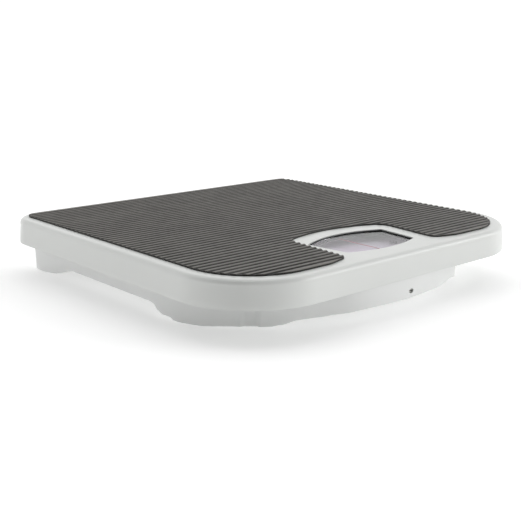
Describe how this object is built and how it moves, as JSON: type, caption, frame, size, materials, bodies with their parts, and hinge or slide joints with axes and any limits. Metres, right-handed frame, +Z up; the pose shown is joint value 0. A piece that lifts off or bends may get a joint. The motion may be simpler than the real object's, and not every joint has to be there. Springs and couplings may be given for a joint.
{
  "type": "mechanical bathroom scale",
  "caption": "Low mechanical bathroom scale: pressed cover with a ribbed dark mat, dial window at the front, moulded base on corner feet, working levers and dial.",
  "frame": {"origin": "on the floor under the centre of the cover's outline", "axes": "+X to the user's right, +Y to the back away from the dial window, +Z up"},
  "size_m": [0.28, 0.267, 0.0413],
  "materials": {
    "white_paint": "smooth gloss white enamel on pressed steel",
    "white_plastic": "satin white moulded plastic",
    "mat_rubber": "matt dark grey ribbed vinyl rubber",
    "pad_rubber": "matt pale grey rubber",
    "gasket": "matt black rubber",
    "lens": "clear polished window",
    "index_red": "red index line",
    "dial_white": "satin white printed dial",
    "zinc_steel": "zinc-plated pressed steel",
    "spring_steel": "bright spring wire",
    "brass": "satin brass"
  },
  "bodies": {
    "base": {"base_tray": "white_plastic", "foot_pad_front_left": "pad_rubber", "foot_pad_front_right": "pad_rubber", "foot_pad_back_left": "pad_rubber", "foot_pad_back_right": "pad_rubber", "fulcrum_bracket_front_left": "zinc_steel", "fulcrum_bracket_front_right": "zinc_steel", "fulcrum_bracket_back_left": "zinc_steel", "fulcrum_bracket_back_right": "zinc_steel", "dial_bridge": "zinc_steel", "crank_bracket": "zinc_steel", "crank_pivot_pin": "zinc_steel", "zero_guide": "zinc_steel", "spring_lug_lower_left": "zinc_steel", "spring_lug_lower_right": "zinc_steel", "cover_spring_left": "spring_steel", "cover_spring_right": "spring_steel"},
    "platform": {"platform_cover": "white_paint", "rubber_mat": "mat_rubber", "window_gasket": "gasket", "window_lens": "lens", "index_line": "index_red", "stiffener_front": "zinc_steel", "stiffener_back": "zinc_steel", "post_front_left": "zinc_steel", "post_front_right": "zinc_steel", "post_back_left": "zinc_steel", "post_back_right": "zinc_steel", "spring_lug_upper_left": "zinc_steel", "spring_lug_upper_right": "zinc_steel"},
    "long_lever": {"long_lever": "zinc_steel", "long_fulcrum_pin_left": "zinc_steel", "long_fulcrum_pin_right": "zinc_steel", "long_load_pin_left": "zinc_steel", "long_load_pin_right": "zinc_steel"},
    "short_lever_left": {"short_lever_left": "zinc_steel", "short_fulcrum_pin_left": "zinc_steel", "short_load_pin_left": "zinc_steel", "short_tip_pin_left": "zinc_steel"},
    "short_lever_right": {"short_lever_right": "zinc_steel", "short_fulcrum_pin_right": "zinc_steel", "short_load_pin_right": "zinc_steel", "short_tip_pin_right": "zinc_steel"},
    "crank": {"crank_lever": "zinc_steel", "crank_input_pin": "zinc_steel", "crank_output_pin": "zinc_steel"},
    "rack": {"rack": "brass"},
    "dial": {"pinion_shaft": "brass", "dial_disc": "dial_white", "dial_hub": "brass", "dial_cap": "brass"},
    "zero_screw": {"zero_screw": "zinc_steel"},
    "zero_nut": {"zero_nut": "brass", "main_spring": "spring_steel"}
  },
  "joints": [
    {"name": "dial_spin", "type": "hinge", "parent": "base", "child": "dial", "pos_m": [0, -0.044, 0.0312], "axis": [0, 0, 1], "range_deg": [0, 320], "stiffness_Nm_per_rad": 0.043, "springref_deg": -14.32},
    {"name": "platform_travel", "type": "slide", "parent": "base", "child": "platform", "axis": [0, 0, -1], "range_m": [0, 0.00112], "deforming": ["cover_spring_left", "cover_spring_right"]},
    {"name": "long_lever_tilt", "type": "hinge", "parent": "base", "child": "long_lever", "pos_m": [0, 0.1, 0.021], "axis": [1, 0, 0], "range_deg": [0, 2.57]},
    {"name": "short_lever_left_tilt", "type": "hinge", "parent": "base", "child": "short_lever_left", "pos_m": [-0.092, -0.08, 0.021], "axis": [-1, 0, 0], "range_deg": [0, 2.57]},
    {"name": "short_lever_right_tilt", "type": "hinge", "parent": "base", "child": "short_lever_right", "pos_m": [0.092, -0.08, 0.021], "axis": [-1, 0, 0], "range_deg": [0, 2.57]},
    {"name": "crank_turn", "type": "hinge", "parent": "base", "child": "crank", "pos_m": [0, -0.062, 0.0112], "axis": [-1, 0, 0], "range_deg": [0, 33.4], "deforming": ["main_spring"]},
    {"name": "rack_slide", "type": "slide", "parent": "base", "child": "rack", "axis": [0, 1, 0], "range_m": [0, 0.01005]},
    {"name": "zero_screw_turn", "type": "hinge", "parent": "base", "child": "zero_screw", "pos_m": [0.0084, -0.1065, 0.0119], "axis": [0, 1, 0], "range_deg": [-360, 360]},
    {"name": "zero_nut_slide", "type": "slide", "parent": "base", "child": "zero_nut", "axis": [0, 1, 0], "range_m": [-0.001, 0.001]}
  ],
  "couplings": [
    {"joint": "dial_spin", "follows": "platform_travel", "rad_per_m": 4985.1},
    {"joint": "long_lever_tilt", "follows": "platform_travel", "rad_per_m": 40},
    {"joint": "short_lever_left_tilt", "follows": "platform_travel", "rad_per_m": 40},
    {"joint": "short_lever_right_tilt", "follows": "platform_travel", "rad_per_m": 40},
    {"joint": "crank_turn", "follows": "platform_travel", "rad_per_m": 520.33},
    {"joint": "rack_slide", "follows": "platform_travel", "ratio": 8.9733},
    {"joint": "zero_screw_turn", "follows": "zero_nut_slide", "rad_per_m": -6283.1}
  ]
}
